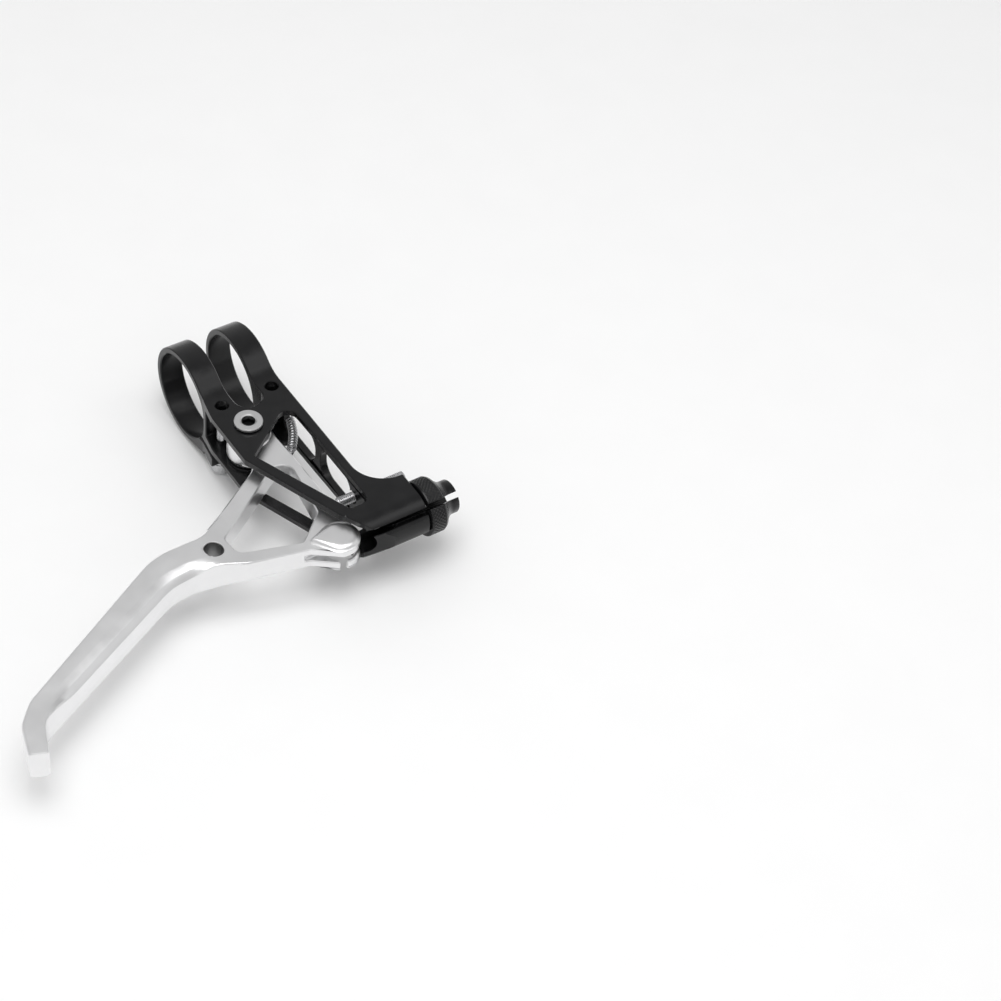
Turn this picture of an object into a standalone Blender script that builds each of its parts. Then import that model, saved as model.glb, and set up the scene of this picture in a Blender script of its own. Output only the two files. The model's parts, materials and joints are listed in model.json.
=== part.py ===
"""Linear-pull bicycle brake lever with a split handlebar clamp, for the right hand.

The frame: origin on the handlebar's axis, midway between the two clamp rings.
+X points outboard, towards the blade's tip, +Y points forward, from the handlebar
to the cable barrel, and +Z is the pivot's axis, square to the bracket's two plates.
Every size below is in millimetres, and MM turns it into Blender's metres.
"""
import math

import bmesh
import bpy
from mathutils import Vector

MM = 0.001
GAP = 0.3
ARC_STEP = math.radians(11.25)
SHARP_ANGLE = math.radians(35)

# Handlebar clamp: two rings, each closed by one screw through a tab below them.
BAR_BORE_R = 11.15
RING_R = 12.8
RING_INNER_X = 3.75
RING_OUTER_X = 10.05
TAB_FRONT_Y = 17.5
TAB_SLOPE = math.radians(11.7)
SLIT = 1.0
SLIT_ROOT_Y = 8.6

# Bracket: two plates joined by a spine on the inboard side and by the barrel in front.
PLATE_TOP = 8.2
PLATE_TOP_INNER = 6.2
PLATE_BOTTOM_INNER = -2.7
PLATE_BOTTOM = -4.5
SPINE_INNER_X = -8.0
BOSS_FRONT_Y = 17.0
THROAT_Y = 15.0
POCKET_FRONT_Y = 57.6
MID_Z = 1.85

# Cable barrel, with its axis along X, and the adjuster screwed into its inboard end.
BARREL_Y = 63.0
BARREL_R = 6.35
BARREL_BORE_R = 4.5
BARREL_END_X = -19.3
BARREL_REAR_Y = 56.0
BARREL_NOSE_R = 12.0
BARREL_NOSE_CENTRE = (-11.5, 57.35)
SLOT_WIDTH = 1.7
SLOT_ANGLE = math.radians(40.0)
FACET_ANGLE = math.radians(-42.0)
FACET_REACH = 5.8

# Pivot.
PIVOT = (4.5, 23.4)
PIVOT_BOLT_R = 2.0
PIVOT_SLEEVE_R = 2.8
PIVOT_BUSHING_R = 3.6
HUB_R = 5.3
HUB_Z = (-1.5, 5.0)

# Clamp screws and the reach screw, M3.
SCREW_R = 1.35
SCREW_HOLE_R = 1.65
CLAMP_SCREW_X = 7.0
CLAMP_SCREW_Y = 14.7
CLAMP_SEAT_Z = -9.5
SEAT_REAR_Y = 11.3
SLIT_ROOF_Z = -5.97
REACH_Y = 51.8
REACH_X = (-22.5, -3.6)

# Lever.
WEB_Z = (-1.15, 4.85)
BLADE_Z = (-2.65, 5.85)
HEAD_Z = (-2.15, 5.85)
NIPPLE = (2.8, 63.8)
NIPPLE_BOSS_R = 4.8
HEAD_CLEARANCE_R = 6.0
LEVER_CUT_Z = (-5.0, 8.0)
NIPPLE_POCKET_R = 3.7
NIPPLE_POCKET_TOP = 2.2
JUNCTION_HOLE = (30.8, 53.2)
JUNCTION_HOLE_R = 2.3
SPRING_HOLE = (0.9, 33.4)

# Return spring.
COIL_R = 1.25
WIRE_R = 0.3
ANCHOR_Y = 17.0


def clear_scene():
    """Start from an empty scene."""
    for obj in list(bpy.data.objects):
        bpy.data.objects.remove(obj, do_unlink=True)


def polar(centre, radius, angle):
    """Point at an angle on a circle."""
    return (centre[0] + radius * math.cos(angle), centre[1] + radius * math.sin(angle))


def arc(centre, radius, start, end):
    """Points along an arc from one angle to another, in radians, both ends included."""
    steps = max(1, math.ceil(abs(end - start) / ARC_STEP))
    return [polar(centre, radius, start + (end - start) * i / steps) for i in range(steps + 1)]


def rounded(corners):
    """Outline through (x, y, radius) corners, with each corner turned into an arc."""
    points = []
    for i, (x, y, radius) in enumerate(corners):
        corner = Vector((x, y))
        if radius == 0:
            points.append((x, y))
            continue
        back = (Vector(corners[i - 1][:2]) - corner).normalized()
        ahead = (Vector(corners[(i + 1) % len(corners)][:2]) - corner).normalized()
        half = back.angle(ahead) / 2
        centre = corner + (back + ahead).normalized() * (radius / math.sin(half))
        first = corner + back * (radius / math.tan(half)) - centre
        last = corner + ahead * (radius / math.tan(half)) - centre
        start = math.atan2(first.y, first.x)
        sweep = (math.atan2(last.y, last.x) - start + math.pi) % (2 * math.pi) - math.pi
        points.extend(arc(centre, radius, start, start + sweep))
    return points


def slot_outline(centre, size, radius):
    """Rectangle of the given size with rounded corners."""
    x, y = centre
    half_x, half_y = size[0] / 2, size[1] / 2
    return rounded([(x - half_x, y - half_y, radius), (x + half_x, y - half_y, radius),
                    (x + half_x, y + half_y, radius), (x - half_x, y + half_y, radius)])


def hexagon(across_flats):
    """Hexagon round the origin."""
    radius = across_flats / math.sqrt(3)
    return [polar((0, 0), radius, math.radians(60 * i)) for i in range(6)]


def finish_mesh(name, mesh_data):
    """Turn a bmesh in millimetres into an object in metres."""
    bmesh.ops.recalc_face_normals(mesh_data, faces=mesh_data.faces)
    bmesh.ops.scale(mesh_data, vec=(MM, MM, MM), verts=mesh_data.verts)
    mesh = bpy.data.meshes.new(name)
    mesh_data.to_mesh(mesh)
    mesh_data.free()
    mesh.shade_smooth()
    mesh.set_sharp_from_angle(angle=SHARP_ANGLE)
    obj = bpy.data.objects.new(name, mesh)
    bpy.context.scene.collection.objects.link(obj)
    return obj


def prism(name, outline, low, high, axis="Z", origin=(0, 0, 0)):
    """Outline extruded between two heights: (x, y) outlines along Z, (y, z) outlines along X."""
    mesh_data = bmesh.new()
    layers = []
    for height in (low, high):
        if axis == "Z":
            corners = [Vector((u, v, height)) for u, v in outline]
        else:
            corners = [Vector((height, u, v)) for u, v in outline]
        layers.append([mesh_data.verts.new(corner - Vector(origin)) for corner in corners])
    bottom, top = layers
    mesh_data.faces.new(bottom)
    mesh_data.faces.new(top)
    for i in range(len(outline)):
        mesh_data.faces.new((bottom[i - 1], bottom[i], top[i], top[i - 1]))
    obj = finish_mesh(name, mesh_data)
    obj.location = Vector(origin) * MM
    return obj


def join_rings(mesh_data, ring, following):
    """Faces between two neighbouring rings, either of which may be a single point on the axis."""
    for i in range(max(len(ring), len(following))):
        if len(ring) == 1 and len(following) == 1:
            return
        if len(ring) == 1:
            mesh_data.faces.new((ring[0], following[i], following[i - 1]))
        elif len(following) == 1:
            mesh_data.faces.new((ring[i - 1], ring[i], following[0]))
        else:
            mesh_data.faces.new((ring[i - 1], ring[i], following[i], following[i - 1]))


def turned(name, profile, location, axis="Z", segments=32):
    """Closed (radius, height) profile turned about the axis through a location.

    With axis "-X" the profile's heights run towards -X, and with "X" towards +X.
    """
    mesh_data = bmesh.new()
    rings = []
    for radius, height in profile:
        if radius == 0:
            rings.append([mesh_data.verts.new((0, 0, height))])
            continue
        angles = [2 * math.pi * i / segments for i in range(segments)]
        rings.append([mesh_data.verts.new((*polar((0, 0), radius, a), height)) for a in angles])
    for ring, following in zip(rings, rings[1:] + rings[:1]):
        join_rings(mesh_data, ring, following)
    obj = finish_mesh(name, mesh_data)
    obj.location = Vector(location) * MM
    if axis == "-X":
        obj.rotation_euler = (0, -math.pi / 2, 0)
    if axis == "X":
        obj.rotation_euler = (0, math.pi / 2, 0)
    return obj


def cylinder(name, radius, low, high, location, axis="Z", segments=32):
    """Plain cylinder between two heights on its axis."""
    return turned(name, [(0, low), (radius, low), (radius, high), (0, high)], location, axis, segments)


def swept(name, route, radii, sides):
    """Round bar of changing radius along a route of points."""
    mesh_data = bmesh.new()
    points = [Vector(point) for point in route]
    side = Vector((0, 0, 1))
    rings = []
    for i, point in enumerate(points):
        ahead = points[min(i + 1, len(points) - 1)] - point
        behind = point - points[max(i - 1, 0)]
        tangent = (ahead.normalized() + behind.normalized()).normalized()
        side = (side - tangent * side.dot(tangent)).normalized()
        other = tangent.cross(side)
        ring = []
        for j in range(sides):
            angle = 2 * math.pi * j / sides
            offset = (side * math.cos(angle) + other * math.sin(angle)) * radii[i]
            ring.append(mesh_data.verts.new(point + offset))
        rings.append(ring)
    mesh_data.faces.new(rings[0])
    mesh_data.faces.new(rings[-1])
    for ring, following in zip(rings, rings[1:]):
        for j in range(sides):
            mesh_data.faces.new((ring[j - 1], ring[j], following[j], following[j - 1]))
    return finish_mesh(name, mesh_data)


def combine(target, tool, operation):
    """Boolean of a target with a tool, which becomes a hidden guide."""
    modifier = target.modifiers.new(f"{operation.lower()}_{tool.name}", "BOOLEAN")
    modifier.operation = operation
    modifier.solver = "EXACT"
    modifier.object = tool
    tool.hide_render = True
    tool.display_type = "WIRE"


def cut(target, *tools):
    """Remove each tool's shape from the target."""
    for tool in tools:
        combine(target, tool, "DIFFERENCE")


def ease_edges(obj, width):
    """Round over the rims of a prism, where its side walls meet its two flat faces."""
    modifier = obj.modifiers.new("eased_rims", "BEVEL")
    modifier.width = width * MM
    modifier.segments = 2
    modifier.limit_method = "ANGLE"
    modifier.angle_limit = math.radians(60)


def paint(obj, colour, roughness, metallic):
    """Give a sub-part its own Principled material."""
    material = bpy.data.materials.new(f"{obj.name}_finish")
    material.use_nodes = True
    shader = material.node_tree.nodes["Principled BSDF"]
    shader.inputs["Base Color"].default_value = (*colour, 1.0)
    shader.inputs["Roughness"].default_value = roughness
    shader.inputs["Metallic"].default_value = metallic
    obj.data.materials.append(material)


def paint_black(obj):
    """Black anodised aluminium."""
    paint(obj, (0.02, 0.02, 0.021), 0.38, 0.6)


def paint_silver(obj):
    """Clear anodised aluminium."""
    paint(obj, (0.72, 0.72, 0.72), 0.34, 1.0)


def paint_steel(obj):
    """Bright steel."""
    paint(obj, (0.6, 0.6, 0.6), 0.28, 1.0)


def paint_polymer(obj):
    """Bearing polymer."""
    paint(obj, (0.78, 0.74, 0.66), 0.55, 0.0)


def side_outline():
    """The bracket seen along X: ring, clamp tab, plates and barrel in one (y, z) outline."""
    ring_end = TAB_SLOPE - math.pi / 2
    tab_start = polar((0, 0), RING_R, ring_end)
    tab_underside = tab_start[1] + (SEAT_REAR_Y - tab_start[0]) * math.tan(TAB_SLOPE)
    fillet_r = 8.0
    fillet_z = PLATE_TOP + fillet_r
    fillet_y = math.sqrt((RING_R + fillet_r) ** 2 - fillet_z ** 2)
    fillet_angle = math.atan2(fillet_z, fillet_y)
    underside_slope = (22.0, PLATE_BOTTOM, 6.0)
    slit_roof = (SLIT_ROOT_Y, SLIT_ROOF_Z, 0)
    slit_floor = (SLIT_ROOT_Y, SLIT_ROOF_Z - SLIT, 0)
    tab = [(*tab_start, 0), (SEAT_REAR_Y, tab_underside, 0), (SEAT_REAR_Y, CLAMP_SEAT_Z, 0.5),
           (TAB_FRONT_Y, CLAMP_SEAT_Z, 1.0), (TAB_FRONT_Y, SLIT_ROOF_Z, 0.5),
           slit_floor, slit_roof, underside_slope, (BARREL_Y, PLATE_BOTTOM, 0)]
    outline = rounded(tab)
    outline += arc((BARREL_Y, MID_Z), BARREL_R, -math.pi / 2, math.pi / 2)[1:]
    outline += arc((fillet_y, fillet_z), fillet_r, -math.pi / 2, fillet_angle - math.pi)
    outline += arc((0, 0), RING_R, fillet_angle, 2 * math.pi + ring_end)[1:-1]
    return outline


def plan_outline():
    """The bracket seen from above: its outer edge in (x, y)."""
    nose = arc(BARREL_NOSE_CENTRE, BARREL_NOSE_R, math.radians(19.0), math.pi / 2)
    edge = rounded([(-RING_OUTER_X, -14.0, 0), (RING_OUTER_X, -14.0, 0), (RING_OUTER_X, 10.5, 6.0),
                    (11.3, 17.5, 8.0), (11.3, 33.5, 1.2), (0.35, 61.26, 0)])
    past_end = BARREL_END_X - 1.0
    inboard = rounded([(past_end, nose[-1][1], 0), (past_end, BARREL_REAR_Y, 0),
                       (-RING_OUTER_X, BARREL_REAR_Y, 8.5), (-RING_OUTER_X, -14.0, 0)])
    return edge + nose + inboard[:-1]


def window_outline():
    """The long opening in each plate, inside the diagonal bar."""
    return rounded([(-7.4, 21.2, 2.6), (8.6, 33.4, 1.3), (-2.46, 59.6, 1.2), (-8.0, 59.6, 2.4)])


def pocket_outline():
    """The space between the plates, open outboard, between the rings, and round the lever's head."""
    far = 14.0
    arm_side = -4.1
    head_side = arc(NIPPLE, HEAD_CLEARANCE_R, math.pi / 2, math.pi)
    return [(far, BOSS_FRONT_Y), (far, head_side[0][1]), *head_side, (arm_side, 60.0),
            (arm_side, POCKET_FRONT_Y), (SPINE_INNER_X, POCKET_FRONT_Y), (SPINE_INNER_X, BOSS_FRONT_Y)]


def radial_box(name, angle, reach, width, x_range):
    """Bar across the barrel's wall: from one reach to another along an angle about its axis."""
    along = Vector((math.cos(angle), math.sin(angle)))
    across = Vector((-along.y, along.x)) * (width / 2)
    centre = Vector((BARREL_Y, MID_Z))
    corners = [centre + along * reach[0] - across, centre + along * reach[1] - across,
               centre + along * reach[1] + across, centre + along * reach[0] + across]
    return prism(name, [tuple(corner) for corner in corners], x_range[0], x_range[1], axis="X")


def cut_clamp(bracket):
    """Handlebar bore, the space between the rings, and the holes of the two clamp screws."""
    bore = cylinder("cut_bar_bore", BAR_BORE_R, -13, 13, (0, 0, 0), axis="X", segments=72)
    throat = arc((0, THROAT_Y), RING_INNER_X, 0, math.pi)
    between = prism("cut_between_rings", [(-RING_INNER_X, -15), (RING_INNER_X, -15), *throat], -15, 15)
    cut(bracket, bore, between)
    for side, x in (("inboard", -CLAMP_SCREW_X), ("outboard", CLAMP_SCREW_X)):
        place = (x, CLAMP_SCREW_Y, 0)
        cut(bracket, cylinder(f"cut_clamp_hole_{side}", SCREW_HOLE_R, -15, 10, place, segments=24))


def cut_plates(bracket):
    """Pocket between the plates, all the windows, the recess round a screw, and the pivot hole."""
    window_z = (PLATE_TOP_INNER + PLATE_BOTTOM_INNER - 0.8) / 2
    window_height = 9.3
    pocket = prism("cut_pocket", pocket_outline(), PLATE_BOTTOM_INNER, PLATE_TOP_INNER)
    windows = prism("cut_windows", window_outline(), PLATE_BOTTOM - 1, PLATE_TOP + 1)
    recess_outline = rounded([(4.6, 12.8, 1.5), (14.0, 12.8, 0), (14.0, 17.6, 0), (4.6, 17.6, 0)])
    recess = prism("cut_screw_recess", recess_outline, PLATE_BOTTOM_INNER, PLATE_TOP_INNER - 0.6)
    rear_oval = slot_outline((26.6, window_z), (15.2, window_height), 4.0)
    front_oval = slot_outline((43.75, window_z), (13.9, window_height), 4.0)
    rear = prism("cut_spine_rear", rear_oval, -12, SPINE_INNER_X + 0.1, axis="X")
    front = prism("cut_spine_front", front_oval, -12, SPINE_INNER_X + 0.1, axis="X")
    pivot = cylinder("cut_pivot_hole", PIVOT_BOLT_R + GAP, -7, 10, (*PIVOT, 0))
    anchor = cylinder("cut_spring_anchor", 0.7, -12, -7, (0, ANCHOR_Y, MID_Z), axis="X", segments=16)
    cut(bracket, pocket, windows, recess, rear, front, pivot, anchor)


def cut_barrel(bracket):
    """Barrel bore, the cable slot along its front, the flat under it, and the reach screw's hole."""
    centre = (0, BARREL_Y, MID_Z)
    bore = cylinder("cut_barrel_bore", BARREL_BORE_R, -22, 3, centre, axis="X", segments=48)
    slot = radial_box("cut_cable_slot", SLOT_ANGLE, (2.0, 9.0), SLOT_WIDTH, (-22, 3))
    facet = radial_box("cut_facet", FACET_ANGLE, (FACET_REACH, 12.0), 16.0, (-22, 3))
    reach = cylinder("cut_reach_hole", SCREW_R + GAP, -25, -6, (0, REACH_Y, MID_Z), axis="X", segments=24)
    cut(bracket, bore, slot, facet, reach)


def make_bracket():
    """One machined body: clamp rings, plates, spine and cable barrel."""
    bracket = prism("bracket", side_outline(), BARREL_END_X, 11.6, axis="X")
    plan = prism("guide_plan", plan_outline(), -16, 16)
    combine(bracket, plan, "INTERSECT")
    cut_clamp(bracket)
    cut_plates(bracket)
    cut_barrel(bracket)
    paint_black(bracket)
    return bracket


def web_outline():
    """The lever's flat web: hub side, two arms, cable head and junction, in (x, y)."""
    head = arc(NIPPLE, NIPPLE_BOSS_R, math.radians(200), math.radians(90))
    inboard = rounded([(-0.75, 23.4, 0), (-1.2, 36.0, 9.0), (-1.3, 51.0, 2.5), (-3.2, 54.0, 2.0),
                       (-3.0, 59.0, 2.0), (-1.6, 61.6, 0)])
    jaw = rounded([(4.4, 68.5, 0), (10.8, 63.9, 3.0), (25.5, 60.6, 9.0), (32.0, 58.3, 9.0),
                   (36.0, 57.6, 0)])
    outboard = rounded([(36.0, 48.4, 0), (31.2, 48.3, 8.0), (10.4, 35.1, 4.0), (6.4, 30.4, 3.0),
                        (8.6, 26.6, 0)])
    return inboard + head[1:] + jaw + outboard + [(4.5, 23.4)]


def triangle_outline():
    """The opening between the lever's two arms."""
    return rounded([(0.3, 33.0, 3.0), (26.9, 51.15, 1.8), (26.2, 56.4, 2.4), (11.1, 61.0, 1.2),
                    (3.25, 54.25, 0.6)])


def blade_outline():
    """The finger blade with its hooked tip, in (x, y)."""
    return rounded([(34.0, 48.35, 0), (44.4, 48.5, 18.0), (88.2, 72.9, 9.0), (92.8, 78.0, 6.0),
                    (95.2, 86.8, 2.0), (91.0, 88.4, 1.8), (87.6, 79.5, 3.0), (44.4, 57.9, 16.0),
                    (38.0, 57.2, 6.0), (34.0, 57.9, 0)])


def make_lever():
    """One forged lever: hub, two arms round an opening, cable head, and blade."""
    pivot_origin = (*PIVOT, MID_Z)
    below, above = LEVER_CUT_Z
    lever = prism("lever_blade", web_outline(), *WEB_Z, origin=pivot_origin)
    ease_edges(lever, 0.5)
    blade = prism("guide_blade", blade_outline(), *BLADE_Z)
    ease_edges(blade, 0.8)
    hub = cylinder("guide_hub", HUB_R, *HUB_Z, (*PIVOT, 0))
    head = cylinder("guide_head", NIPPLE_BOSS_R - 0.05, *HEAD_Z, (*NIPPLE, 0), segments=40)
    ease_edges(head, 1.2)
    for tool in (blade, hub, head):
        combine(lever, tool, "UNION")
    opening = prism("cut_triangle", triangle_outline(), below, above)
    bore = cylinder("cut_hub_bore", PIVOT_BUSHING_R + GAP, below, above, (*PIVOT, 0))
    junction = cylinder("cut_junction_hole", JUNCTION_HOLE_R, below, above, (*JUNCTION_HOLE, 0))
    nipple = cylinder("cut_nipple_pocket", NIPPLE_POCKET_R, below, NIPPLE_POCKET_TOP, (*NIPPLE, 0))
    cable = prism("cut_head_slot", [(-4, 61.5), (1.5, 61.5), (4.0, 62.5), (8.5, 63.0), (12.0, 63.0),
                                     (12.0, 71.0), (-4, 71.0)], 0.9, 2.8)
    release = prism("cut_release_slot", [(3.1, 62.0), (4.9, 62.0), (4.9, 71.0), (3.1, 71.0)], below, 1.5)
    hook_top = MID_Z + 0.8
    spring_hole = cylinder("cut_spring_hole", 0.9, below, hook_top, (*SPRING_HOLE, 0), segments=16)
    spring_slot = prism("cut_spring_slot", [(-3, 31.0), (SPRING_HOLE[0], 32.3), (SPRING_HOLE[0], 34.5),
                                            (-3, 34.5)], MID_Z - 0.85, MID_Z + 0.85)
    cut(lever, opening, bore, junction, nipple, cable, release, spring_hole, spring_slot)
    paint_silver(lever)
    return lever


def add_socket(screw, across_flats, low, high, location, axis="Z"):
    """Hexagon socket cut into a screw's end."""
    socket = prism(f"cut_{screw.name}_socket", hexagon(across_flats), low, high)
    socket.location = Vector(location) * MM
    if axis == "-X":
        socket.rotation_euler = (0, -math.pi / 2, 0)
    cut(screw, socket)


def make_pivot():
    """Pivot bolt, nut, sleeve, the two bushings in the lever's hub, and the thrust washers."""
    place = (*PIVOT, 0)
    bolt = turned("pivot_bolt", [(0, -7.2), (1.7, -7.2), (PIVOT_BOLT_R, -6.9), (PIVOT_BOLT_R, 8.5),
                                 (3.6, 8.5), (3.6, 9.1), (3.3, 9.4), (0, 9.4)], place)
    add_socket(bolt, 2.9, 7.4, 10, place)
    paint_steel(bolt)
    nut = prism("pivot_nut", hexagon(7.0), -7.0, PLATE_BOTTOM - GAP)
    nut.location = Vector(place) * MM
    cut(nut, cylinder("cut_nut_bore", PIVOT_BOLT_R + GAP, -9, -3, place))
    paint_steel(nut)
    sleeve_bore = PIVOT_BOLT_R + GAP
    sleeve = turned("pivot_sleeve", tube(sleeve_bore, PIVOT_SLEEVE_R, PLATE_BOTTOM_INNER + GAP,
                                         PLATE_TOP_INNER - GAP), place)
    paint_steel(sleeve)
    middle = (HUB_Z[0] + HUB_Z[1]) / 2
    bush_bore = PIVOT_SLEEVE_R + GAP
    for name, low, high in (("pivot_bushing_lower", HUB_Z[0], middle - GAP / 2),
                            ("pivot_bushing_upper", middle + GAP / 2, HUB_Z[1])):
        paint_polymer(turned(name, tube(bush_bore, PIVOT_BUSHING_R, low, high), place))
    for name, low, high in (("thrust_washer_lower", PLATE_BOTTOM_INNER + GAP, HUB_Z[0] - GAP),
                            ("thrust_washer_upper", HUB_Z[1] + GAP, PLATE_TOP_INNER - GAP)):
        paint_steel(turned(name, tube(bush_bore, 5.0, low, high), place))


def tube(inner, outer, low, high):
    """Profile of a plain ring."""
    return [(inner, low), (outer, low), (outer, high), (inner, high)]


def make_clamp_screws():
    """The two clamp screws, heads down, with a washer under each head."""
    washer_top = CLAMP_SEAT_Z - GAP
    head_top = washer_top - 0.5 - GAP
    head_end = head_top - 3.0
    for side, x in (("inboard", -CLAMP_SCREW_X), ("outboard", CLAMP_SCREW_X)):
        place = (x, CLAMP_SCREW_Y, 0)
        screw = turned(f"clamp_bolt_{side}", [(0, head_end), (2.5, head_end), (2.75, head_end + 0.3),
                                              (2.75, head_top), (SCREW_R, head_top), (SCREW_R, 5.0),
                                              (SCREW_R - 0.4, 5.4), (0, 5.4)], place, segments=24)
        add_socket(screw, 2.5, head_end - 1, head_end + 1.6, place)
        paint_steel(screw)
        washer = turned(f"clamp_washer_{side}", tube(SCREW_HOLE_R, 2.8, washer_top - 0.5, washer_top),
                        place, segments=24)
        paint_steel(washer)


def make_reach_screw():
    """Grub screw through the spine that sets where the lever rests."""
    place = (0, REACH_Y, MID_Z)
    tip, end = -REACH_X[1], -REACH_X[0]
    profile = [(0, tip), (SCREW_R - 0.4, tip), (SCREW_R, tip + 0.5), (SCREW_R, end - 0.3),
               (SCREW_R - 0.3, end), (0, end)]
    screw = turned("reach_screw", profile, place, axis="-X", segments=24)
    add_socket(screw, 1.5, end - 1.6, end + 1, place, axis="-X")
    paint_steel(screw)


def make_adjuster():
    """Barrel adjuster: threaded shank, knurled collar, and a flared nozzle for the cable housing."""
    collar_start = -BARREL_END_X + GAP
    collar_end = 24.6
    nozzle_end = 29.0
    shank_r = BARREL_BORE_R - GAP
    profile = [(1.4, 11.0), (shank_r - 0.5, 11.0), (shank_r, 11.5), (shank_r, collar_start),
               (6.7, collar_start), (7.1, collar_start + 0.4), (7.1, collar_end - 1.3),
               (6.7, collar_end - 0.4), (5.9, collar_end), (5.0, collar_end + 0.9), (4.45, collar_end + 2.1),
               (4.25, nozzle_end - 0.6), (4.25, nozzle_end), (3.25, nozzle_end), (3.25, 23.0),
               (1.4, 22.0)]
    place = (0, BARREL_Y, MID_Z)
    adjuster = turned("barrel_adjuster", profile, place, axis="-X", segments=48)
    slot = radial_box("cut_adjuster_slot", math.radians(48.0), (-0.4, 9.0), 1.5, (-31, -9))
    cut(adjuster, slot)
    paint_black(adjuster)


def make_spring():
    """Extension spring in outline: its close-wound body with a bent hook at each end."""
    z = MID_Z
    rear_hook = [(-8.9, ANCHOR_Y), (-10.2, ANCHOR_Y), (-10.75, 17.5), (-10.75, 18.9), (-10.1, 20.3),
                 (-8.5, 21.5)]
    coil_start = Vector((-8.2, 21.8))
    coil_end = Vector((-3.3, 31.0))
    along = (coil_end - coil_start).normalized()
    coil = [coil_start - along * 0.1, coil_start + along * 0.5,
            coil_end - along * 0.5, coil_end + along * 0.1]
    route = [(x, y, z) for x, y in rear_hook]
    route += [(*point, z) for point in coil]
    route += [(-2.2, 32.6, z), (0.4, 33.2, z), (SPRING_HOLE[0], 33.4, z - 0.5), (*SPRING_HOLE, z - 2.0)]
    radii = [WIRE_R] * len(rear_hook) + [WIRE_R, COIL_R, COIL_R, WIRE_R] + [WIRE_R] * 4
    paint_steel(swept("return_spring", route, radii, 12))


def main():
    """Build the whole brake lever."""
    clear_scene()
    make_bracket()
    make_clamp_screws()
    make_lever()
    make_pivot()
    make_spring()
    make_reach_screw()
    make_adjuster()


main()
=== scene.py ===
import json
import math

import bmesh
import bpy
from mathutils import Matrix, Vector


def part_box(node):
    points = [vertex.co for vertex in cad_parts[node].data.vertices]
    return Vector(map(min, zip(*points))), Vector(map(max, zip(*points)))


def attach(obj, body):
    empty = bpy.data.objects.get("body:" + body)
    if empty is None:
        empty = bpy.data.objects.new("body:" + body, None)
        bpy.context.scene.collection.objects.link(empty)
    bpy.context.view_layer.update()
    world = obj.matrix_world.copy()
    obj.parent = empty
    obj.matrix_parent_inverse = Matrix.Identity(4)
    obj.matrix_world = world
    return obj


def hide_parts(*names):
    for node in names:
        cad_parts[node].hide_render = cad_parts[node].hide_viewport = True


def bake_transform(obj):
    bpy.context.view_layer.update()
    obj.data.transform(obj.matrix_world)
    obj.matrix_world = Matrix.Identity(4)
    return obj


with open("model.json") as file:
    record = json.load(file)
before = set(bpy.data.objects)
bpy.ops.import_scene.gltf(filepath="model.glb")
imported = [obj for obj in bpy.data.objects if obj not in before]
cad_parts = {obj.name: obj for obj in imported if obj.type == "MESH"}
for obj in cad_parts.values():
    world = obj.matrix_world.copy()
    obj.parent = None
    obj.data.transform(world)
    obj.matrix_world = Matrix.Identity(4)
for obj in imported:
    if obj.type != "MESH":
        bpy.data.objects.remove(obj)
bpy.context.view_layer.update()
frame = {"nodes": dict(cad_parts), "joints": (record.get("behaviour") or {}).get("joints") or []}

# Lengths are in millimetres unless a comment says metres, and MM turns them into metres.
# Outlines are in the CAD model's frame: +X outboard along the handlebar, +Y forward, +Z along
# the lever's pivot. Their corners are (x, y, radius), and a radius of 0 leaves a corner sharp.
MM = 0.001


def low(node):
    """A CAD node's lowest corner in millimetres."""
    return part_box(node)[0] / MM


def high(node):
    """A CAD node's highest corner in millimetres."""
    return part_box(node)[1] / MM


def joint_place(name):
    """The point a joint turns about, in millimetres."""
    joint = next(entry for entry in frame["joints"] if entry["name"] == name)
    return Vector(joint["pos_m"]) / MM


def middle(node):
    """The middle of a CAD node's box in millimetres."""
    return (low(node) + high(node)) / 2


PIVOT = joint_place("lever_pivot").to_2d()
BARREL = joint_place("adjuster_turn").yz
MID_Z = BARREL.y
BARREL_Y = BARREL.x
GAP = 0.3

# How finely arcs are drawn, and what counts as sharp, flat and coincident in a mesh.
ARC_STEP = math.radians(5.0)
TURNED_SHARP_ANGLE = math.radians(38.0)
MACHINED_SHARP_ANGLE = math.radians(16.0)
FLAT_ANGLE = math.radians(0.6)
WELD_DISTANCE = 0.015

# Bracket. The spine's ovals are (middle, length) along Y, and a reach is a pair of distances
# from the barrel's axis.
RING_R = -low("bracket").y
RING_OUTER_X = 10.05
RING_INNER_X = 3.75
RING_FILLET_R = 8.0
BEHIND_RINGS_Y = -14.0
BAR_BORE_R = 11.15
TAB_FRONT_Y = 17.5
TAB_SLOPE = math.radians(11.7)
CLAMP_SEAT_Z = high("clamp_washer_inboard").z + GAP
SEAT_REAR_Y = 11.3
SLIT = 1.0
SLIT_ROOT_Y = 8.6
SLIT_ROOF_Z = -5.97
PLATE_TOP = 8.2
PLATE_TOP_INNER = 6.2
PLATE_BOTTOM_INNER = -2.7
PLATE_BOTTOM = -4.5
PLATE_OUTER_X = 11.3
PLATE_UNDERSIDE_Y = 22.0
PAST_PLATES_X = 14.0
BLANK_END_X = 11.6
SPINE_INNER_X = -8.0
BOSS_FRONT_Y = 17.0
THROAT_Y = 15.0
POCKET_FRONT_Y = 57.6
RECESS_ROOF = PLATE_TOP_INNER - 0.6
OVAL_Z = 1.35
OVAL_HEIGHT = 9.3
OVAL_CORNER_R = 4.0
OVAL_SPANS = ((26.6, 15.2), (43.75, 13.9))
CLAMP_HOLE_R = 1.65
PIVOT_HOLE_R = 2.3
ANCHOR_HOLE_R = 0.7
BARREL_R = high("bracket").y - BARREL_Y
BARREL_BORE_R = 4.5
BARREL_END_X = low("bracket").x
BARREL_REAR_Y = 56.0
BARREL_NOSE_R = 12.0
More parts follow.
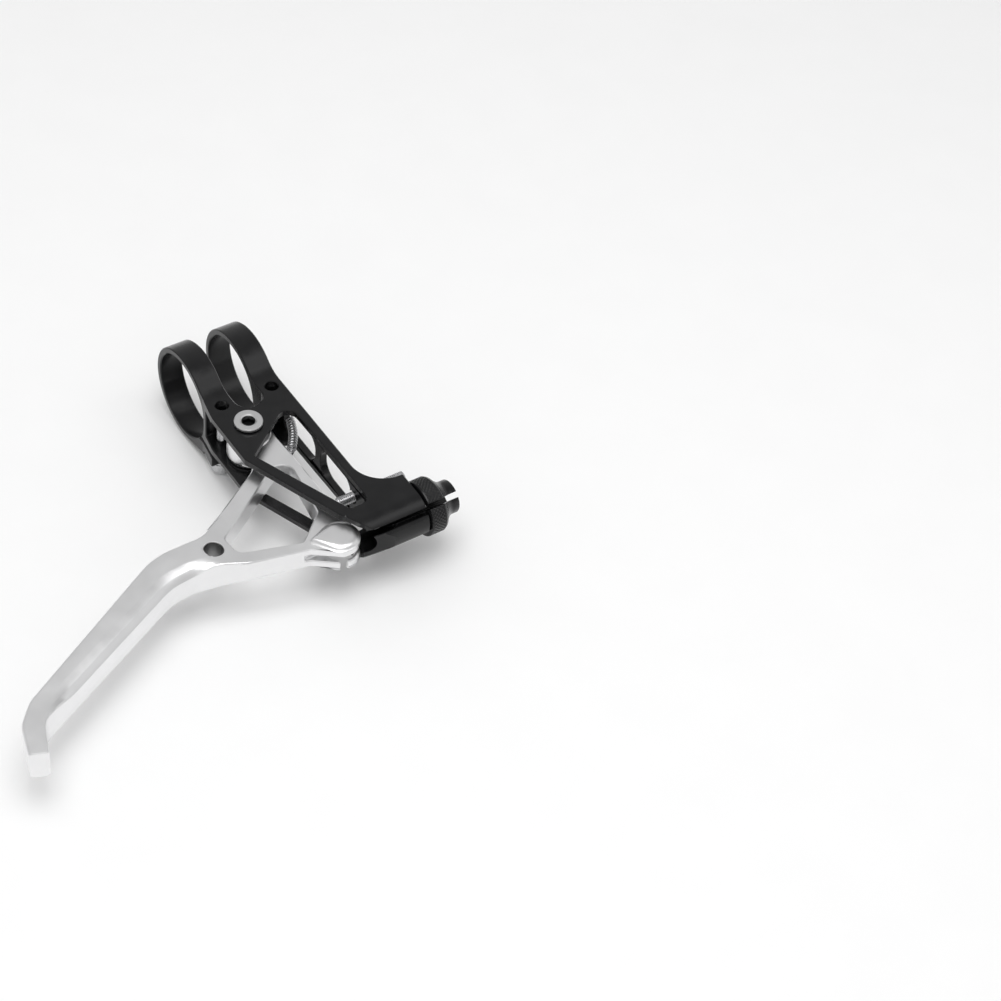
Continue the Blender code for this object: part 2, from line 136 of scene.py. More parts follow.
BARREL_NOSE_CENTRE = (-11.5, 57.35)
CABLE_SLOT_ANGLE = math.radians(40.0)
CABLE_SLOT_WIDTH = 1.7
CABLE_SLOT_REACH = (2.0, 9.0)
FACET_ANGLE = math.radians(-42.0)
FACET_WIDTH = 16.0
FACET_REACH = (5.8, 12.0)
BRACKET_EDGE = 0.25

# Where the bracket's cutters start and end, along the axis each one is cut along.
PLAN_CUT = (-16, 16)
BAR_CUT = (-13, 13)
THROAT_CUT = (-15, 15)
CLAMP_CUT = (-15, 10)
PIVOT_CUT = (-7, 10)
WINDOW_CUT = (PLATE_BOTTOM - 1, PLATE_TOP + 1)
OVAL_CUT = (-12, SPINE_INNER_X + 0.1)
ANCHOR_CUT = (-12, -7)
BARREL_CUT = (-22, 3)
REACH_CUT = (-25, -6)

# Lever.
WEB_Z = (-1.15, 4.85)
BLADE_Z = (-2.65, 5.85)
HUB_R = 5.3
HUB_Z = (low("pivot_bushing_lower").z, high("pivot_bushing_upper").z)
BUSHING_R = high("pivot_bushing_upper").x - PIVOT.x
NIPPLE = (2.8, 63.8)
NIPPLE_BOSS_R = 4.8
NIPPLE_POCKET_R = 3.7
NIPPLE_POCKET_TOP = 2.2
HEAD_BOTTOM = -2.15
HEAD_CORNER = (9.0, 61.95)
HEAD_CORNER_R = 0.6
HEAD_CORNER_SHRINK = 0.4
HEAD_DOME = 1.5
HEAD_DOME_SPREAD = 1.2
HEAD_INSET = 0.05
HEAD_CLEARANCE_R = 6.0
HEAD_SLOT_Z = (0.9, 2.8)
RELEASE_SLOT_TOP = 1.5
JUNCTION_HOLE = (30.8, 53.2)
JUNCTION_HOLE_R = 2.3
SPRING_HOLE = (0.9, 33.4)
SPRING_HOLE_R = 0.9
SPRING_HOLE_TOP = MID_Z + 0.8
SPRING_SLOT_Z = (MID_Z - 0.85, MID_Z + 0.85)
LEVER_CUT = (-5, 8)
LEVER_EDGE = 0.28
LEVER_EDGE_ANGLE = 55.0

# Blade: its rear and front edges, the places on them that face each other, and how many
# cross-sections lie between one such pair and the next.
BLADE_REAR = [(19.0, 40.6, 0), (31.2, 48.3, 8.0), (44.4, 48.5, 18.0), (88.2, 72.9, 9.0),
              (92.8, 78.0, 6.0), (95.1, 86.2, 0)]
BLADE_FRONT = [(19.0, 62.0, 0), (25.5, 60.6, 9.0), (32.0, 58.3, 9.0), (38.0, 57.3, 6.0),
               (44.4, 57.9, 16.0), (87.6, 79.5, 6.0), (90.8, 87.9, 0)]
REAR_PLACES = [(19.0, 40.6), (33.5, 48.3), (46.0, 49.3), (87.0, 72.3), (94.45, 83.9),
               (95.1, 86.2)]
FRONT_PLACES = [(19.0, 62.0), (33.5, 58.1), (42.5, 57.3), (86.0, 78.7), (89.95, 85.65),
                (90.8, 87.9)]
BLADE_COUNTS = (24, 16, 30, 16, 8)
# Corners of a cross-section: (distance from the edge, distance from the face). The front
# upper corner's third value is its depth where the blade is dished.
LOWER_CORNER = ((0, 1.1), (0.12, 0.6), (0.45, 0.2), (1.0, 0))
REAR_CORNER = ((0.7, 0), (0.3, 0.12), (0.08, 0.35), (0, 0.7))
FRONT_CORNER = ((0, 0.7, 2.3), (0.08, 0.35, 2.0), (0.25, 0.14, 1.8), (0.4, 0.06, 1.62),
                (1.5, 0, 0.66), (1.6, 0, 0.60), (3.3, 0, 0.05), (3.6, 0, 0))
# Stretches of the blade in X, as (start, length): where it grows out of the web, and where
# its dish deepens and fades.
GROWTH = (22.0, 12.0)
DISH_START = (31.0, 9.0)
DISH_END = (78.0, 8.0)
NARROW = 5.0
ROOT_INSET = 0.05
TIP_INSET = 1.9
TIP_RISE = 1.1
TIP_DROP = 1.3

# Screws.
SCREW_R = 1.35
PIVOT_SHANK_R = 2.0
PIVOT_SOCKET_R = 1.74
THREAD_PITCH = 0.5
THREAD_DEPTH = 0.22
THREAD_STEP = THREAD_PITCH / 6
REACH_THREAD_DEPTH = 0.25
CLAMP_SOCKET = 2.5
PIVOT_SOCKET = 2.9
REACH_SOCKET = 1.5
SOCKET_DEPTH = 1.6
PIVOT_SOCKET_DEPTH = 1.1
NUT_WIDTH = 7.0
NUT_CROWN_R = 3.45

# Adjuster.
BARREL_THREAD_PITCH = 1.0
BARREL_THREAD_DEPTH = 0.4
COLLAR_END = 24.6
KNURL_COUNT = 44
KNURL_PITCH = 1.0
KNURL_DEPTH = 0.24
NOZZLE_R = 4.25
NOZZLE_BORE_R = 3.25
NOZZLE_RISE = 2.6
HOUSING_STOP = 23.0
CABLE_HOLE_R = 1.4
ADJUSTER_SLOT_ANGLE = math.radians(48.0)
ADJUSTER_SLOT_WIDTH = 1.5
ADJUSTER_SLOT_REACH = (-0.4, 9.0)
ADJUSTER_SLOT_CUT = (-31, -9)

# Spring. Its hook in the spine is (x, distance forward of the anchor hole).
WIRE_R = 0.3
WIRE_SIDES = 10
ANCHOR_Y = low("return_spring").y + WIRE_R
COIL_R = 0.95
COIL_START = (-8.2, 21.8)
COIL_END = (-3.3, 31.0)
COIL_PITCH = 2 * WIRE_R + 0.32
COIL_STEPS = 14
COIL_BOW = 0.55
SPINE_HOOK = ((-8.9, 0), (-10.2, 0), (-10.6, 0.15), (-10.75, 0.6), (-10.7, 1.9), (-10.2, 3.1),
              (-9.3, 4.1), (-8.6, 4.5))

# Lights, floor and camera, all in metres. A light is its name, place, width and power.
LIGHT_TARGET = (0.03, 0.04, 0.0)
LIGHTS = (("top_box", (0.10, 0.15, 0.75), 0.5, 3.0),
          ("band_box", (-0.32, 0.27, 0.62), 0.26, 0.25),
          ("front_box", (0.35, 0.85, 0.35), 0.4, 0.3),
          ("side_box", (-0.70, 0.30, 0.33), 0.35, 0.10))
DIM_DIRECTION = (-0.66, -0.06, 0.75)
DIM_EDGE = (0.88, 0.97)
WORLD_STRENGTH = 0.60
DIM_STRENGTH = 0.40
FLOOR_REACH = 1.2
FLOOR_DROP = 0.0004
CAMERA_PLACE = (0.2363, 0.4217, 0.4703)
CAMERA_BACK = (0.425, 0.543, 0.724)
CAMERA_RIGHT = (-0.832, 0.550, 0.076)


def polar(centre, radius, angle):
    """Point at an angle on a circle."""
    return (centre[0] + radius * math.cos(angle), centre[1] + radius * math.sin(angle))


def arc(centre, radius, start, end):
    """Points along an arc from one angle to another, in radians, both ends included."""
    count = max(1, math.ceil(abs(end - start) / ARC_STEP))
    return [polar(centre, radius, start + (end - start) * i / count) for i in range(count + 1)]


def corner_arc(before, corner, after, radius):
    """Points of the arc that rounds one corner of an outline."""
    place = Vector(corner)
    back = (Vector(before) - place).normalized()
    ahead = (Vector(after) - place).normalized()
    half = back.angle(ahead) / 2
    centre = place + (back + ahead).normalized() * (radius / math.sin(half))
    first = place + back * (radius / math.tan(half)) - centre
    last = place + ahead * (radius / math.tan(half)) - centre
    start = math.atan2(first.y, first.x)
    sweep = (math.atan2(last.y, last.x) - start + math.pi) % (2 * math.pi) - math.pi
    return arc(centre, radius, start, start + sweep)


def rounded(corners):
    """Closed outline through (x, y, radius) corners, with each corner turned into an arc."""
    points = []
    for i, (x, y, radius) in enumerate(corners):
        if radius == 0:
            points.append((x, y))
        else:
            after = corners[(i + 1) % len(corners)]
            points.extend(corner_arc(corners[i - 1][:2], (x, y), after[:2], radius))
    return points


def slot_outline(centre, size, radius):
    """Rectangle of the given size with rounded corners."""
    x, y = centre
    half_x, half_y = size[0] / 2, size[1] / 2
    return rounded([(x - half_x, y - half_y, radius), (x + half_x, y - half_y, radius),
                    (x + half_x, y + half_y, radius), (x - half_x, y + half_y, radius)])


def hexagon(across_flats):
    """Hexagon round the origin."""
    radius = across_flats / math.sqrt(3)
    return [polar((0, 0), radius, math.radians(60 * i)) for i in range(6)]


def make_object(name, mesh_data):
    """Turn a bmesh in millimetres into an object in metres."""
    bmesh.ops.recalc_face_normals(mesh_data, faces=mesh_data.faces)
    bmesh.ops.scale(mesh_data, vec=(MM, MM, MM), verts=mesh_data.verts)
    mesh = bpy.data.meshes.new(name)
    mesh_data.to_mesh(mesh)
    mesh_data.free()
    mesh.shade_smooth()
    mesh.set_sharp_from_angle(angle=TURNED_SHARP_ANGLE)
    obj = bpy.data.objects.new(name, mesh)
    bpy.context.scene.collection.objects.link(obj)
    return obj


def loft(name, sections, closed=False):
    """Skin over rings of points that all have the same number of points."""
    mesh_data = bmesh.new()
    rings = [[mesh_data.verts.new(point) for point in section] for section in sections]
    pairs = list(zip(rings, rings[1:]))
    if closed:
        pairs.append((rings[-1], rings[0]))
    else:
        mesh_data.faces.new(rings[0])
        mesh_data.faces.new(rings[-1])
    for ring, following in pairs:
        for i in range(len(ring)):
            mesh_data.faces.new((ring[i - 1], ring[i], following[i], following[i - 1]))
    return make_object(name, mesh_data)


def prism(name, outline, bottom, top, axis="Z"):
    """Outline extruded between two heights: (x, y) outlines along Z, (y, z) outlines along X."""
    if axis == "Z":
        return loft(name, [[(u, v, h) for u, v in outline] for h in (bottom, top)])
    return loft(name, [[(h, u, v) for u, v in outline] for h in (bottom, top)])


def turn_to(obj, place, axis):
    """Put a piece made round the Z axis at a place, with its heights along an axis."""
    angles = {"Z": 0.0, "X": math.pi / 2, "-X": -math.pi / 2}
    turn = Matrix.Rotation(angles[axis], 4, "Y")
    obj.data.transform(Matrix.Translation(Vector(place) * MM) @ turn)
    return obj


def no_relief(angle, height):
    """A plain turned surface."""
    return 0.0


def turned(name, profile, place, axis="Z", segments=64, relief=no_relief, hollow=False):
    """(radius, height) profile turned about an axis, with a relief added to its radius.

    A solid piece's profile runs from one end face to the other, and a hollow one's goes all round.
    """
    sections = []
    for radius, height in profile:
        angles = [2 * math.pi * i / segments for i in range(segments)]
        sections.append([(*polar((0, 0), radius + relief(a, height), a), height) for a in angles])
    return turn_to(loft(name, sections, closed=hollow), place, axis)


def cylinder(name, radius, bottom, top, place, axis="Z", segments=64):
    """Plain cylinder, used as a cutter or a core."""
    return turned(name, [(radius, bottom), (radius, top)], place, axis, segments)


def chamfered_hole(name, radius, bottom, top, place):
    """Cutter for a hole with a chamfer at both of its mouths."""
    chamfer = 0.3
    flare = 3.0
    mouth = radius + chamfer
    profile = [(mouth + flare, bottom - flare), (mouth, bottom), (radius, bottom + chamfer),
               (radius, top - chamfer), (mouth, top), (mouth + flare, top + flare)]
    return turned(name, profile, place, segments=48)


def triangle_wave(turns):
    """Rises from 0 to 1 and falls back once for each whole turn."""
    return abs(2 * (turns - math.floor(turns + 0.5)))


def thread_relief(pitch, depth, bottom, top):
    """Relief of a screw thread between two heights, fading out at both of its ends."""
    def relief(angle, height):
        fade = max(0.0, min(1.0, (height - bottom) / pitch, (top - height) / pitch))
        return -depth * fade * (1 - triangle_wave(height / pitch - angle / (2 * math.pi)))
    return relief


def knurl_relief(count, pitch, depth, bottom, top):
    """Relief of a diamond knurl between two heights: two crossed sets of grooves."""
    def relief(angle, height):
        if not bottom < height < top:
            return 0.0
        turns = count * angle / (2 * math.pi)
        ridge = max(triangle_wave(turns + height / pitch), triangle_wave(turns - height / pitch))
        return -depth * ridge
    return relief


def steps(start, end, step):
    """Values from start to end, no more than a step apart, both ends included."""
    count = max(1, math.ceil(abs(end - start) / step))
    return [start + (end - start) * i / count for i in range(count + 1)]


def carve(target, tool, operation="DIFFERENCE"):
    """Boolean a tool into a target at once, and remove the tool."""
    modifier = target.modifiers.new("carve", "BOOLEAN")
    modifier.operation = operation
    modifier.solver = "EXACT"
    modifier.object = tool
    apply_modifiers(target)
    bpy.data.objects.remove(tool, do_unlink=True)


def apply_modifiers(obj):
    """Replace an object's mesh with the one its modifiers make."""
    view = bpy.context.evaluated_depsgraph_get()
    mesh = bpy.data.meshes.new_from_object(obj.evaluated_get(view))
    obj.modifiers.clear()
    obj.data = mesh


def clean(obj):
    """Weld a carved mesh and cut it into triangles, so that no face is folded or has a hole."""
    mesh_data = bmesh.new()
    mesh_data.from_mesh(obj.data)
    bmesh.ops.remove_doubles(mesh_data, verts=mesh_data.verts, dist=WELD_DISTANCE * MM)
    bmesh.ops.dissolve_limit(mesh_data, angle_limit=FLAT_ANGLE, verts=mesh_data.verts,
                             edges=mesh_data.edges)
    bmesh.ops.triangulate(mesh_data, faces=mesh_data.faces)
    mesh_data.to_mesh(obj.data)
    mesh_data.free()


def break_edges(obj, width, angle=35.0):
    """Chamfer every edge of a machined piece that is sharper than an angle in degrees."""
    clean(obj)
    bevel = obj.modifiers.new("broken_edges", "BEVEL")
    bevel.width = width * MM
    bevel.segments = 1
    bevel.limit_method = "ANGLE"
    bevel.angle_limit = math.radians(angle)
    bevel.use_clamp_overlap = False
    bevel.loop_slide = False
    apply_modifiers(obj)
    shade(obj)


def shade(obj):
    """Smooth curves with crisp edges wherever two faces meet at a clear angle."""
    obj.data.shade_smooth()
    obj.data.set_sharp_from_angle(angle=MACHINED_SHARP_ANGLE)


# Materials. A noise's useful values lie in NOISE_RANGE, and bore walls get these greys as painted
# shade.
NOISE_RANGE = (0.3, 0.7)
BORE_SHADE_GREY = (0.24, 0.24, 0.24)
SOCKET_SHADE_BLACK = (0.03, 0.03, 0.03)


def new_material(name, colour, roughness, metallic):
    """A Principled material, and its shader for the nodes that follow."""
    material = bpy.data.materials.new(name)
    material.use_nodes = True
    shader = material.node_tree.nodes["Principled BSDF"]
    shader.inputs["Base Color"].default_value = (*colour, 1.0)
    shader.inputs["Roughness"].default_value = roughness
    shader.inputs["Metallic"].default_value = metallic
    return material, shader


def noise(material, scale, detail, stretch=(1, 1, 1)):
    """Noise fixed to the object, with about this many grains in a metre along each axis."""
    nodes, links = material.node_tree.nodes, material.node_tree.links
    place = nodes.new("ShaderNodeTexCoord")
    mapping = nodes.new("ShaderNodeMapping")
    mapping.inputs["Scale"].default_value = stretch
    texture = nodes.new("ShaderNodeTexNoise")
    texture.inputs["Scale"].default_value = scale
    texture.inputs["Detail"].default_value = detail
    links.new(place.outputs["Object"], mapping.inputs["Vector"])
    links.new(mapping.outputs["Vector"], texture.inputs["Vector"])
    return texture


def vary_roughness(material, shader, texture, lowest, highest):
    """Let a noise move the roughness between two values."""
    spread = material.node_tree.nodes.new("ShaderNodeMapRange")
    spread.inputs["From Min"].default_value = NOISE_RANGE[0]
    spread.inputs["From Max"].default_value = NOISE_RANGE[1]
    spread.inputs["To Min"].default_value = lowest
    spread.inputs["To Max"].default_value = highest
    material.node_tree.links.new(texture.outputs["Fac"], spread.inputs["Value"])
    material.node_tree.links.new(spread.outputs["Result"], shader.inputs["Roughness"])


def vary_colour(material, shader, texture, dark, light):
    """Let a noise move the base colour between two colours."""
    ramp = material.node_tree.nodes.new("ShaderNodeValToRGB")
    ramp.color_ramp.elements[0].position = NOISE_RANGE[0]
    ramp.color_ramp.elements[1].position = NOISE_RANGE[1]
    ramp.color_ramp.elements[0].color = (*dark, 1.0)
    ramp.color_ramp.elements[1].color = (*light, 1.0)
    material.node_tree.links.new(texture.outputs["Fac"], ramp.inputs["Fac"])
    material.node_tree.links.new(ramp.outputs["Color"], shader.inputs["Base Color"])


def add_grain(material, shader, texture, depth, strength):
    """Let a noise roughen the surface by a depth in millimetres."""
    bump = material.node_tree.nodes.new("ShaderNodeBump")
    bump.inputs["Distance"].default_value = depth * MM
    bump.inputs["Strength"].default_value = strength
    material.node_tree.links.new(texture.outputs["Fac"], bump.inputs["Height"])
    material.node_tree.links.new(bump.outputs["Normal"], shader.inputs["Normal"])


def paint_bore_shade(material, shader, place, radius, dark):
    """Darken what lies within a radius of an axis along Z with painted shade: the shade inside a
    bore.
    """
    nodes, links = material.node_tree.nodes, material.node_tree.links
    coordinates = nodes.new("ShaderNodeTexCoord")
    flat = nodes.new("ShaderNodeVectorMath")
    flat.operation = "MULTIPLY"
    flat.inputs[1].default_value = (1, 1, 0)
    distance = nodes.new("ShaderNodeVectorMath")
    distance.operation = "DISTANCE"
    distance.inputs[1].default_value = (place[0] * MM, place[1] * MM, 0)
    inside = nodes.new("ShaderNodeMath")
    inside.operation = "LESS_THAN"
    inside.inputs[1].default_value = radius * MM
    mix = nodes.new("ShaderNodeMix")
    mix.data_type = "RGBA"
    mix.inputs["B"].default_value = (*dark, 1.0)
    colour = shader.inputs["Base Color"]
    if colour.is_linked:
        links.new(colour.links[0].from_socket, mix.inputs["A"])
    else:
        mix.inputs["A"].default_value = colour.default_value
    links.new(coordinates.outputs["Object"], flat.inputs[0])
    links.new(flat.outputs["Vector"], distance.inputs[0])
    links.new(distance.outputs["Value"], inside.inputs[0])
    links.new(inside.outputs["Value"], mix.inputs["Factor"])
    links.new(mix.outputs["Result"], colour)


def black_anodised():
    """Black anodised aluminium, bead blasted before it was dyed."""
    material, shader = new_material("black_anodised", (0.006, 0.006, 0.0065), 0.28, 0.0)
    shader.inputs["IOR"].default_value = 1.38
    cloud = noise(material, 220, 3)
    vary_colour(material, shader, cloud, (0.004, 0.004, 0.0045), (0.008, 0.008, 0.0085))
    vary_roughness(material, shader, cloud, 0.20, 0.27)
    add_grain(material, shader, noise(material, 5200, 2), 0.012, 0.35)
    return material


def silver_anodised():
    """Satin aluminium with a clear anodised coat and the faint lines of its polishing."""
    material, shader = new_material("silver_anodised", (0.84, 0.84, 0.845), 0.32, 1.0)
    cloud = noise(material, 150, 4)
    vary_colour(material, shader, cloud, (0.82, 0.82, 0.825), (0.86, 0.86, 0.865))
    vary_roughness(material, shader, cloud, 0.28, 0.35)
    add_grain(material, shader, noise(material, 900, 3, (1.0, 1.0, 7.0)), 0.010, 0.25)
    # Painted shade: the junction hole's wall is darkened to a dull grey.
    paint_bore_shade(material, shader, JUNCTION_HOLE, JUNCTION_HOLE_R + 0.12, BORE_SHADE_GREY)
    return material


def bright_steel():
    """Bright plated steel with fine turning marks."""
    material, shader = new_material("bright_steel", (0.62, 0.62, 0.63), 0.24, 1.0)
    marks = noise(material, 1600, 3, (1.0, 1.0, 5.0))
    vary_roughness(material, shader, marks, 0.18, 0.32)
    add_grain(material, shader, marks, 0.008, 0.25)
    return material


def satin_steel():
    """Turned steel with a satin face and painted shade in its socket."""
    material, shader = new_material("satin_steel", (0.66, 0.66, 0.66), 0.33, 1.0)
    marks = noise(material, 2400, 2)
    vary_roughness(material, shader, marks, 0.28, 0.38)
    add_grain(material, shader, marks, 0.008, 0.3)
    # Painted shade: the socket's inside is darkened to near black.
    paint_bore_shade(material, shader, PIVOT, PIVOT_SOCKET_R, SOCKET_SHADE_BLACK)
    return material


def spring_steel():
    """Drawn spring wire."""
    material, shader = new_material("spring_steel", (0.45, 0.45, 0.46), 0.24, 1.0)
    vary_roughness(material, shader, noise(material, 1200, 2), 0.16, 0.30)
    return material


def bearing_polymer():
    """Natural bearing polymer, slightly mottled."""
    material, shader = new_material("bearing_polymer", (0.78, 0.74, 0.66), 0.5, 0.0)
    cloud = noise(material, 700, 3)
    vary_colour(material, shader, cloud, (0.74, 0.70, 0.62), (0.82, 0.78, 0.70))
    vary_roughness(material, shader, cloud, 0.45, 0.6)
    return material


MATERIALS = {
    "black_anodised": black_anodised(),
    "silver_anodised": silver_anodised(),
    "bright_steel": bright_steel(),
    "satin_steel": satin_steel(),
    "spring_steel": spring_steel(),
    "bearing_polymer": bearing_polymer(),
}


def coat(obj, slot):
    """Give an object the material of a slot, and no other."""
    obj.data.materials.clear()
    obj.data.materials.append(MATERIALS[slot])


def dress(obj, slot, body, node):
    """Give a new piece its material and its body, and hide the CAD node it stands for."""
    coat(obj, slot)
    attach(obj, body)
    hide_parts(node)


# Bracket.

def side_outline():
    """The bracket seen along X: ring, clamp tab, plates and barrel in one (y, z) outline."""
    ring_end = TAB_SLOPE - math.pi / 2
    tab_start = polar((0, 0), RING_R, ring_end)
    tab_underside = tab_start[1] + (SEAT_REAR_Y - tab_start[0]) * math.tan(TAB_SLOPE)
    fillet_z = PLATE_TOP + RING_FILLET_R
    fillet_y = math.sqrt((RING_R + RING_FILLET_R) ** 2 - fillet_z ** 2)
    fillet_angle = math.atan2(fillet_z, fillet_y)
    outline = rounded([(*tab_start, 0), (SEAT_REAR_Y, tab_underside, 0),
                       (SEAT_REAR_Y, CLAMP_SEAT_Z, 0.5), (TAB_FRONT_Y, CLAMP_SEAT_Z, 1.0),
                       (TAB_FRONT_Y, SLIT_ROOF_Z, 0.5), (SLIT_ROOT_Y, SLIT_ROOF_Z - SLIT, 0),
                       (SLIT_ROOT_Y, SLIT_ROOF_Z, 0), (PLATE_UNDERSIDE_Y, PLATE_BOTTOM, 6.0),
                       (BARREL_Y, PLATE_BOTTOM, 0)])
    outline += arc((BARREL_Y, MID_Z), BARREL_R, -math.pi / 2, math.pi / 2)[1:]
    outline += arc((fillet_y, fillet_z), RING_FILLET_R, -math.pi / 2, fillet_angle - math.pi)
    outline += arc((0, 0), RING_R, fillet_angle, 2 * math.pi + ring_end)[1:-1]
    return outline


def plan_outline():
    """The bracket seen from above: its outer edge in (x, y)."""
    nose = arc(BARREL_NOSE_CENTRE, BARREL_NOSE_R, math.radians(19.0), math.pi / 2)
    edge = rounded([(-RING_OUTER_X, BEHIND_RINGS_Y, 0), (RING_OUTER_X, BEHIND_RINGS_Y, 0),
                    (RING_OUTER_X, 10.5, 6.0), (PLATE_OUTER_X, 17.5, 8.0),
                    (PLATE_OUTER_X, 33.5, 1.2), (0.35, 61.26, 0)])
    past_end = BARREL_END_X - 1.0
    inboard = rounded([(past_end, nose[-1][1], 0), (past_end, BARREL_REAR_Y, 0),
                       (-RING_OUTER_X, BARREL_REAR_Y, 8.5), (-RING_OUTER_X, BEHIND_RINGS_Y, 0)])
    return edge + nose + inboard[:-1]


def throat_outline():
    """The gap between the two rings, open to the rear and round at its front."""
    rear = BEHIND_RINGS_Y - 1
    front = arc((0, THROAT_Y), RING_INNER_X, 0, math.pi)
    return [(-RING_INNER_X, rear), (RING_INNER_X, rear), *front]


def window_outline():
    """The long opening in each plate, inside the diagonal bar."""
    return rounded([(-7.4, 21.2, 2.6), (8.6, 33.4, 1.3), (-2.46, 59.6, 1.2), (-8.0, 59.6, 2.4)])


def pocket_outline():
    """The space between the plates, open outboard, and cleared round the lever's head."""
    arm_side = -4.1
    shoulder_y = 60.0
    head_side = arc(NIPPLE, HEAD_CLEARANCE_R, math.pi / 2, math.pi)
    return [(PAST_PLATES_X, BOSS_FRONT_Y), (PAST_PLATES_X, head_side[0][1]), *head_side,
            (arm_side, shoulder_y), (arm_side, POCKET_FRONT_Y), (SPINE_INNER_X, POCKET_FRONT_Y),
            (SPINE_INNER_X, BOSS_FRONT_Y)]


def recess_outline():
    """The recess beside the outboard clamp screw, open outboard."""
    inner_x = 4.6
    rear_y, front_y = 12.8, 17.6
    return rounded([(inner_x, rear_y, 1.5), (PAST_PLATES_X, rear_y, 0),
                    (PAST_PLATES_X, front_y, 0), (inner_x, front_y, 0)])


def radial_box(name, angle, reach, width, x_range):
    """Bar across the barrel's wall: from one reach to another along an angle about its axis."""
    along = Vector((math.cos(angle), math.sin(angle)))
    across = Vector((-along.y, along.x)) * (width / 2)
    corners = [BARREL + along * reach[0] - across, BARREL + along * reach[1] - across,
               BARREL + along * reach[1] + across, BARREL + along * reach[0] + across]
    return prism(name, [tuple(corner) for corner in corners], *x_range, axis="X")


def make_bracket():
    """The machined body, with its edges broken."""
    bracket = prism("bracket_body", side_outline(), BARREL_END_X, BLANK_END_X, axis="X")
    carve(bracket, prism("plan", plan_outline(), *PLAN_CUT), "INTERSECT")
    carve(bracket, cylinder("bar_bore", BAR_BORE_R, *BAR_CUT, (0, 0, 0), axis="X", segments=120))
    carve(bracket, prism("between", throat_outline(), *THROAT_CUT))
    for side in ("inboard", "outboard"):
        screw = middle(f"clamp_bolt_{side}")
        place = (screw.x, screw.y, 0)
        carve(bracket, cylinder("clamp_hole", CLAMP_HOLE_R, *CLAMP_CUT, place, segments=40))
    carve(bracket, prism("pocket", pocket_outline(), PLATE_BOTTOM_INNER, PLATE_TOP_INNER))
    carve(bracket, prism("windows", window_outline(), *WINDOW_CUT))
    carve(bracket, prism("screw_recess", recess_outline(), PLATE_BOTTOM_INNER, RECESS_ROOF))
    for y, length in OVAL_SPANS:
        oval = slot_outline((y, OVAL_Z), (length, OVAL_HEIGHT), OVAL_CORNER_R)
        carve(bracket, prism("spine_oval", oval, *OVAL_CUT, axis="X"))
    carve(bracket, cylinder("pivot_hole", PIVOT_HOLE_R, *PIVOT_CUT, (*PIVOT, 0), segments=48))
    place = (0, ANCHOR_Y, MID_Z)
    carve(bracket, cylinder("anchor_hole", ANCHOR_HOLE_R, *ANCHOR_CUT, place, axis="X",
                            segments=24))
    place = (0, BARREL_Y, MID_Z)
    carve(bracket, cylinder("barrel_bore", BARREL_BORE_R, *BARREL_CUT, place, axis="X",
                            segments=72))
    carve(bracket, radial_box("cable_slot", CABLE_SLOT_ANGLE, CABLE_SLOT_REACH, CABLE_SLOT_WIDTH,
                              BARREL_CUT))
    carve(bracket, radial_box("facet", FACET_ANGLE, FACET_REACH, FACET_WIDTH, BARREL_CUT))
    place = (0, middle("reach_screw").y, MID_Z)
    carve(bracket, cylinder("reach_hole", SCREW_R + GAP, *REACH_CUT, place, axis="X", segments=40))
    break_edges(bracket, BRACKET_EDGE)
    dress(bracket, "black_anodised", "bracket", "bracket")


# Lever.

def web_outline():
    """The lever's flat web: hub side, two arms, cable head and junction, in (x, y)."""
    head = arc(NIPPLE, NIPPLE_BOSS_R, math.radians(200), math.radians(90))
    inboard = rounded([(-0.75, 23.4, 0), (-1.2, 36.0, 9.0), (-1.3, 51.0, 2.5), (-3.2, 54.0, 2.0),
                       (-3.0, 59.0, 2.0), (-1.6, 61.6, 0)])
    jaw = rounded([(4.4, 68.5, 0), (10.8, 63.9, 3.0), (25.5, 60.6, 9.0), (30.0, 59.0, 0)])
    outboard = rounded([(29.3, 47.1, 0), (10.4, 35.1, 4.0), (6.4, 30.4, 3.0), (8.6, 26.6, 0)])
    return inboard + head[1:] + jaw + outboard + [tuple(PIVOT)]


def triangle_outline():
    """The opening between the lever's two arms."""
    return rounded([(0.3, 33.0, 3.0), (26.9, 51.15, 1.8), (26.2, 56.4, 2.4), (11.1, 61.0, 1.2),
                    (3.25, 54.25, 1.2)])


def open_path(corners):
    """Rounded path that is open: its first and last corners stay sharp ends."""
    points = [Vector(corners[0][:2])]
    for before, corner, after in zip(corners, corners[1:], corners[2:]):
        points += [Vector(p) for p in corner_arc(before[:2], corner[:2], after[:2], corner[2])]
    return points + [Vector(corners[-1][:2])]


def resample(points, keys, counts):
    """Even steps along a path between the places on it that are nearest to some key points."""
    lengths = [0.0]
    for a, b in zip(points, points[1:]):
        lengths.append(lengths[-1] + (b - a).length)
    marks = []
    for key in keys:
        nearest = min(range(len(points)), key=lambda i: (points[i] - Vector(key)).length)
        marks.append(lengths[nearest])
    places = [marks[0]]
    for (start, end), count in zip(zip(marks, marks[1:]), counts):
        places += [start + (end - start) * i / count for i in range(1, count + 1)]
    return [point_along(points, lengths, place) for place in places]


def point_along(points, lengths, place):
    """The point of a path at a distance along it."""
    for i in range(1, len(points)):
        if place <= lengths[i] + 1e-9:
            share = (place - lengths[i - 1]) / max(lengths[i] - lengths[i - 1], 1e-9)
            return points[i - 1].lerp(points[i], share)
    return points[-1]


def smooth_step(value):
    """0 below 0, 1 above 1, and a smooth rise between."""
    share = max(0.0, min(1.0, value))
    return share * share * (3 - 2 * share)


def progress(place, stretch):
    """How far a place is along a (start, length) stretch, smoothed, from 0 to 1."""
    return smooth_step((place - stretch[0]) / stretch[1])


